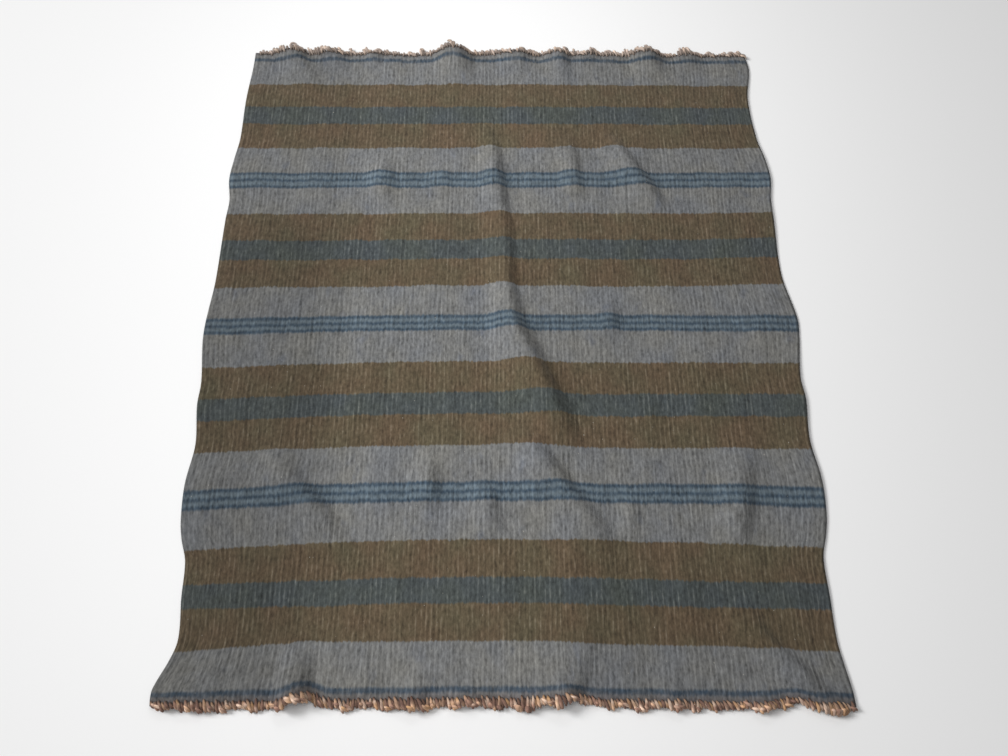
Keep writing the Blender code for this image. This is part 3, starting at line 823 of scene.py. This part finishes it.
@dataclass
class Cloth:
    """The woven cloth, a thin closed sheet that reaches under both edgings."""

    lay: Lay
    thickness: float = 0.003
    end_thickness: float = 0.0018
    end_inset: float = 0.011
    far_inset: float = 0.019
    end_lift: float = 0.0020
    end_zone: float = 0.045
    stitches: int = 124
    steps_a_stitch: int = 2
    end_rows: int = 12
    middle_rows: int = 160
    pucker: float = 0.0007
    pucker_from_end: float = 0.027
    pucker_reach: float = 0.034

    def rows(self) -> list[float]:
        """Places of the mesh's rows along, closer at both ends."""
        start, end = self.end_inset, self.lay.length - self.far_inset
        places = spaced(start, start + self.end_zone, self.end_rows)[:-1]
        places += spaced(start + self.end_zone, end - self.end_zone, self.middle_rows)[:-1]
        return places + spaced(end - self.end_zone, end, self.end_rows)

    def flat_sheet(self) -> bmesh.types.BMesh:
        """Closed sheet in the flat, whose points keep their flat places as an attribute."""
        bm = bmesh.new()
        columns = spaced(-self.lay.width / 2.0, self.lay.width / 2.0, self.stitches * self.steps_a_stitch)
        rows = self.rows()
        counts = len(columns) - 1, len(rows) - 1
        bmesh.ops.create_grid(bm, x_segments=counts[0], y_segments=counts[1], size=0.5)
        for vert in bm.verts:
            vert.co.x = columns[round((vert.co.x + 0.5) * counts[0])]
            vert.co.y = rows[round((vert.co.y + 0.5) * counts[1])]
        bmesh.ops.solidify(bm, geom=bm.faces[:], thickness=self.thickness)
        lowest = min(vert.co.z for vert in bm.verts)
        keep = bm.verts.layers.float_vector.new(FLAT_PLACE)
        for vert in bm.verts:
            vert.co.z -= lowest
            vert[keep] = vert.co
        return bm

    def lifted(self, flat: np.ndarray) -> np.ndarray:
        """Flat places whose ends are thinner, drawn up by the yarn and puckered at each stitch."""
        across, along, lift = flat.T
        from_end = np.minimum(along, self.lay.length - along)
        inside = np.minimum(along - self.end_inset, self.lay.length - self.far_inset - along)
        at_end = fade(inside, self.end_zone)
        thickness = self.thickness + (self.end_thickness - self.thickness) * at_end
        pitch = self.lay.width / self.stitches
        dimple = self.pucker * (0.5 - 0.5 * np.cos(math.tau * across / pitch))
        dimple = dimple * fade(np.abs(from_end - self.pucker_from_end), self.pucker_reach)
        raised = self.end_lift * at_end + dimple + lift / self.thickness * thickness
        return np.stack([across, along, raised], axis=1)

    def build(self, finish: BrushedWool) -> bpy.types.Object:
        """Build, lay and dress the cloth."""
        bm = self.flat_sheet()
        flat = np.array([vert.co[:] for vert in bm.verts])
        for vert, place in zip(bm.verts, self.lay.raised(self.lifted(flat))):
            vert.co = place
        piece = finished("wool_cloth", bm, finish.make())
        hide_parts("blanket_cloth")
        return piece


class StrandRing(NamedTuple):
    """A ring of a yarn strand: its share of the way to the tip, lift, half width and half height."""

    reach: float
    lift: float
    half_width: float
    half_height: float


class Kind(Enum):
    """What a strand does: a stitch's leg, the yarn low between two legs, or a link over them."""

    LEG = "leg"
    FILL = "fill"
    LINK = "link"


class Strand(NamedTuple):
    """One piece of yarn, from where it goes in to its tip, and its lightness, painted shade included."""

    hole: float
    hole_from_end: float
    tip: float
    tip_from_end: float
    kind: Kind
    lightness: float


@dataclass
class Edging:
    """The thick yarn stitched over one end: strands that wrap the cloth and meet in teeth."""

    lay: Lay
    end: End
    seed: int
    cells: int = 124
    tooth_cells: tuple[int, ...] = (2, 3, 1, 2, 4, 2, 3)
    tooth_lengths: tuple[float, ...] = (0.005, 0.012, 0.008, 0.015, 0.006, 0.013, 0.010)
    tooth_root: float = 0.008
    lean_a_cell: float = 0.0030
    taper: float = 0.75
    taper_power: float = 1.6
    # Painted light falloff on the legs: lighter in the middle, painted darker towards both sides.
    middle_painted_light: float = 0.12
    side_painted_shade: float = 0.30
    shortest_share: float = 0.1
    gather: float = 0.16
    side_jitter: float = 0.0015
    tip_jitter: float = 0.0024
    hole_from_end: tuple[float, float] = (0.0205, 0.0260)
    fill_from_end: float = 0.0200
    slant: tuple[float, float] = (-0.0125, -0.0020)
    fill_above: float = 0.003
    fill_drop: float = 0.0013
    fill_short: float = 0.0022
    # Lightness of the low yarn between legs, painted dark as shade.
    fill_painted_shade: float = 0.46
    leg_lightness: tuple[float, float] = (0.62, 1.24)
    link_lightness: tuple[float, float] = (0.80, 1.25)
    link_reach: tuple[float, float] = (0.0045, 0.0110)
    link_root: tuple[float, float] = (0.009, 0.016)
    link_tip: tuple[float, float] = (0.001, 0.006)
    link_share: float = 0.45
    jitter_seed_step: int = 100
    # How far up a leg its painted root shade reaches, and how light the root stays on dulled yarn.
    root_reach: float = 0.50
    dulled_root: float = 0.6
    lowest: float = 0.0001
    yarn_a_stitch: float = 0.047
    sides: int = 6
    dulled: float = 0.0
    leg_rings: tuple[StrandRing, ...] = (
        StrandRing(0.00, 0.0034, 0.0012, 0.0009),
        StrandRing(0.05, 0.0052, 0.0022, 0.0016),
        StrandRing(0.20, 0.0066, 0.0030, 0.0021),
        StrandRing(0.40, 0.0072, 0.0036, 0.0026),
        StrandRing(0.62, 0.0070, 0.0041, 0.0029),
        StrandRing(0.80, 0.0058, 0.0040, 0.0029),
        StrandRing(0.93, 0.0042, 0.0030, 0.0024),
        StrandRing(1.00, 0.0026, 0.0014, 0.0013),
        StrandRing(0.92, 0.0012, 0.0030, 0.0010),
        StrandRing(0.60, 0.0011, 0.0034, 0.0010),
        StrandRing(0.20, 0.0012, 0.0030, 0.0010),
        StrandRing(0.05, 0.0030, 0.0012, 0.0008),
    )
    link_rings: tuple[StrandRing, ...] = (
        StrandRing(0.00, 0.0040, 0.0008, 0.0008),
        StrandRing(0.06, 0.0056, 0.0018, 0.0015),
        StrandRing(0.16, 0.0070, 0.0026, 0.0020),
        StrandRing(0.28, 0.0080, 0.0031, 0.0023),
        StrandRing(0.40, 0.0086, 0.0034, 0.0025),
        StrandRing(0.52, 0.0087, 0.0036, 0.0026),
        StrandRing(0.64, 0.0083, 0.0036, 0.0026),
        StrandRing(0.75, 0.0074, 0.0034, 0.0025),
        StrandRing(0.84, 0.0062, 0.0031, 0.0023),
        StrandRing(0.92, 0.0048, 0.0026, 0.0019),
        StrandRing(0.97, 0.0036, 0.0018, 0.0014),
        StrandRing(1.00, 0.0028, 0.0008, 0.0008),
    )

    @property
    def turn(self) -> float:
        """Sign across of the stitches' slant, which is the same at both ends seen from the middle."""
        return -1.0 if self.end is End.FAR else 1.0

    def legs(self, jitter: random.Random) -> list[Strand]:
        """One leg for every cell, whose tips meet in teeth at the places of the solid's teeth."""
        draw = random.Random(self.seed)
        pitch = self.lay.width / self.cells
        found: list[Strand] = []
        while len(found) < self.cells:
            first = len(found)
            count = min(draw.choice(self.tooth_cells), self.cells - first)
            length = draw.choice(self.tooth_lengths)
            crest = draw.uniform(-self.lean_a_cell, self.lean_a_cell) * count
            crest += (first + count / 2.0) * pitch - self.lay.width / 2.0
            for cell in range(first, first + count):
                middle = (cell + 0.5) * pitch - self.lay.width / 2.0
                off_crest = abs(middle - crest) / (pitch * (count + 1.0) / 2.0)
                share = max(1.0 - self.taper * off_crest ** self.taper_power, self.shortest_share)
                # Painted light falloff: the leg's lightness, painted darker towards the sides.
                tone = 1.0 + self.middle_painted_light - self.side_painted_shade * (2.0 * middle / self.lay.width) ** 2
                found.append(Strand(
                    hole=middle + self.turn * jitter.uniform(*self.slant),
                    hole_from_end=jitter.uniform(*self.hole_from_end),
                    tip=(middle + (crest - middle) * self.gather
                         + jitter.uniform(-self.side_jitter, self.side_jitter)),
                    tip_from_end=(self.tooth_root - length * share
                                  + jitter.uniform(-self.tip_jitter, self.tip_jitter)),
                    kind=Kind.LEG, lightness=jitter.uniform(*self.leg_lightness) * tone))
        return found

    def fill(self, one: Strand, other: Strand) -> Strand:
        """Low yarn between two legs, painted darker as shade between them."""
        return Strand(
            hole=(one.hole + other.hole) / 2.0, hole_from_end=self.fill_from_end,
            tip=(one.tip + other.tip) / 2.0,
            tip_from_end=(one.tip_from_end + other.tip_from_end) / 2.0 + self.fill_short,
            kind=Kind.FILL, lightness=self.fill_painted_shade)

    def link(self, leg: Strand, jitter: random.Random) -> Strand:
        """A loose loop that lies across a leg's tip."""
        step = self.turn * jitter.uniform(*self.link_reach)
        return Strand(
            hole=leg.tip - step, hole_from_end=leg.tip_from_end + jitter.uniform(*self.link_root),
            tip=leg.tip + step, tip_from_end=leg.tip_from_end + jitter.uniform(*self.link_tip),
            kind=Kind.LINK, lightness=jitter.uniform(*self.link_lightness))

    def strands(self) -> list[Strand]:
        """The legs, with low yarn between each two and a link over some of them."""
        jitter = random.Random(self.seed + self.jitter_seed_step)
        legs = self.legs(jitter)
        fills = [self.fill(one, other) for one, other in zip(legs, legs[1:])]
        links = [self.link(leg, jitter) for leg in legs if jitter.random() < self.link_share]
        return legs + fills + links

    def template(self) -> bpy.types.Mesh:
        """A closed round tube with this edging's rings, from -0.5 to 0.5 in height."""
        bm = bmesh.new()
        bmesh.ops.create_cone(bm, cap_ends=True, cap_tris=False, segments=self.sides,
                              radius1=1.0, radius2=1.0, depth=1.0)
        sides = [edge for edge in bm.edges if abs(edge.verts[0].co.z - edge.verts[1].co.z) > 0.5]
        bmesh.ops.subdivide_edges(bm, edges=sides, cuts=len(self.leg_rings) - 2, use_grid_fill=True)
        mesh = bpy.data.meshes.new("strand_template")
        bm.to_mesh(mesh)
        bm.free()
        return mesh

    def shape(self, strand: Strand, ring: np.ndarray, angle: np.ndarray) -> tuple[np.ndarray, np.ndarray]:
        """Flat places of one strand's points.

        Args:
            strand: the strand.
            ring: which ring each point is on.
            angle: each point's angle round the yarn.

        Returns:
            One row of across, along and lift a point, and each point's length along the yarn.
        """
        rings = self.link_rings if strand.kind is Kind.LINK else self.leg_rings
        reach, lift, half_width, half_height = (
            np.array(column(rings, name)) for name in StrandRing._fields)
        if strand.kind is Kind.FILL:
            lift = np.where(lift > self.fill_above, lift - self.fill_drop, lift)
        run = np.array([strand.tip - strand.hole, strand.tip_from_end - strand.hole_from_end])
        centre = np.stack([
            strand.hole + run[0] * reach, strand.hole_from_end + run[1] * reach, lift], axis=1)
        ahead = np.gradient(centre, axis=0)
        ahead /= np.linalg.norm(ahead, axis=1, keepdims=True)
        side = np.array([-run[1], run[0], 0.0]) / np.hypot(*run)
        upward = np.cross(ahead, side)
        gone = np.concatenate([[0.0], np.cumsum(np.linalg.norm(np.diff(centre, axis=0), axis=1))])
        flat = (centre[ring] + side * (half_width[ring] * np.cos(angle))[:, None]
                + upward[ring] * (half_height[ring] * np.sin(angle))[:, None])
        flat[:, 2] = np.maximum(flat[:, 2], self.lowest)
        return flat, gone[ring]

    def build(self, material: bpy.types.Material) -> bpy.types.Object:
        """Build, lay and dress the edging."""
        template = self.template()
        points = np.array([vert.co[:] for vert in template.vertices])
        ring = np.round((points[:, 2] + 0.5) * (len(self.leg_rings) - 1)).astype(int)
        angle = np.arctan2(points[:, 1], points[:, 0])
        bm = bmesh.new()
        place, dye = (bm.verts.layers.float_vector.new(name) for name in (YARN_PLACE, YARN_DYE_AND_SHADE))
        flats, places, dyes = [], [], []
        # Painted shade: legs and fills are darker towards their roots, where they go into the cloth.
        reach = np.array(column(self.leg_rings, "reach"))
        painted_root_shade = np.clip(reach / self.root_reach, self.dulled * self.dulled_root, 1.0)
        for index, strand in enumerate(self.strands()):
            bm.from_mesh(template)
            flat, gone = self.shape(strand, ring, angle)
            shade = strand.lightness * (1.0 if strand.kind is Kind.LINK else painted_root_shade[ring])
            flats.append(flat)
            places.append(np.stack([gone, np.cos(angle), np.sin(angle)], axis=1))
            dyes.append(np.stack([
                gone + index * self.yarn_a_stitch, np.broadcast_to(shade, gone.shape),
                np.full(len(gone), self.dulled)], axis=1))
        bpy.data.meshes.remove(template)
        flat = np.concatenate(flats)
        if self.end is End.FAR:
            flat[:, 1] = self.lay.length - flat[:, 1]
        rows = zip(bm.verts, self.lay.raised(flat), np.concatenate(places), np.concatenate(dyes))
        for vert, where, on_yarn, on_dye_and_shade in rows:
            vert.co = where
            vert[place] = Vector(on_yarn)
            vert[dye] = Vector(on_dye_and_shade)
        piece = finished(f"yarn_edging_{self.end.value}", bm, material)
        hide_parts(f"edging_{self.end.value}")
        return piece


def far_edging(lay: Lay) -> Edging:
    """The far end's edging, which is duller, shorter and more uneven than the near one."""
    return Edging(
        lay, End.FAR, 8, dulled=0.66, tooth_root=0.0175,
        tooth_lengths=(0.006, 0.017, 0.010, 0.024, 0.008, 0.020, 0.013),
        taper=0.85, taper_power=1.1, gather=0.34, tip_jitter=0.0040,
        hole_from_end=(0.0240, 0.0300), fill_from_end=0.0245, fill_short=0.0050,
        fill_painted_shade=0.55, leg_lightness=(0.62, 1.55), link_lightness=(0.90, 1.45))


class Softbox(NamedTuple):
    """A square soft light: its name, place, size and power."""

    name: str
    place: tuple[float, float, float]
    size: float
    power: float


@dataclass
class Studio:
    """The camera, the plain floor and the soft light from the left."""

    lay: Lay
    lens: float = 27.0
    sensor: float = 36.0
    height: float = 1.773
    along: float = 0.054
    pitch: float = 68.1
    floor_size: float = 14.0
    room_light: float = 0.28
    softboxes: tuple[Softbox, ...] = (
        Softbox("key", (-12.0, 2.8, 8.0), 4.8, 1900.0),
        Softbox("overhead_near", (-0.14, -0.52, 1.35), 0.7, 5.0),
        Softbox("overhead_far", (-0.14, 0.84, 1.35), 0.7, 6.4),
    )

    def camera(self) -> None:
        """Place the camera at the near end, looking down along the blanket."""
        data = bpy.data.cameras.new("camera")
        data.lens, data.sensor_width = self.lens, self.sensor
        camera = bpy.data.objects.new("camera", data)
        camera.location = (self.lay.plan_shift[0], self.along + self.lay.plan_shift[1], self.height)
        camera.rotation_euler = (math.radians(90.0 - self.pitch), 0.0, 0.0)
        bpy.context.scene.collection.objects.link(camera)
        bpy.context.scene.camera = camera

    def floor(self) -> None:
        """Lay the floor, which isn't part of the blanket."""
        bm = bmesh.new()
        bmesh.ops.create_grid(bm, x_segments=1, y_segments=1, size=self.floor_size / 2.0)
        mesh = bpy.data.meshes.new("floor")
        bm.to_mesh(mesh)
        bm.free()
        mesh.materials.append(PaleFloor().make())
        floor = bpy.data.objects.new("floor", mesh)
        bpy.context.scene.collection.objects.link(floor)

    def softbox(self, box: Softbox) -> None:
        """Hang one soft light: over the blanket it faces down, else the blanket's middle."""
        overhead = abs(box.place[0]) < self.lay.width / 2.0
        aim = Vector((0.0, 0.0, -1.0)) if overhead else -Vector(box.place)
        data = bpy.data.lights.new(box.name, "AREA")
        data.shape, data.size, data.energy = "SQUARE", box.size, box.power
        light = bpy.data.objects.new(box.name, data)
        light.location = box.place
        light.rotation_euler = aim.to_track_quat("-Z", "Y").to_euler()
        light.visible_camera = False
        bpy.context.scene.collection.objects.link(light)

    def light(self) -> None:
        """Set the even room light and the softboxes."""
        world = bpy.data.worlds.new("room")
        world.use_nodes = True
        background = world.node_tree.nodes["Background"]
        background.inputs["Color"].default_value = (1.0, 1.0, 1.0, 1.0)
        background.inputs["Strength"].default_value = self.room_light
        bpy.context.scene.world = world
        for box in self.softboxes:
            self.softbox(box)
        bpy.context.scene.view_settings.view_transform = "Standard"

    def build(self) -> None:
        """Set up the whole studio."""
        self.camera()
        self.floor()
        self.light()


def main() -> None:
    """Build the blanket and its studio, piece by piece."""
    logging.basicConfig(level=logging.INFO, format="%(message)s")
    lay = Lay()
    Studio(lay).build()
    cloth = Cloth(lay).build(BrushedWool())
    yarn = DippedYarn().make()
    near = Edging(lay, End.NEAR, 5).build(yarn)
    far = far_edging(lay).build(yarn)


if __name__ == "__main__":
    main()
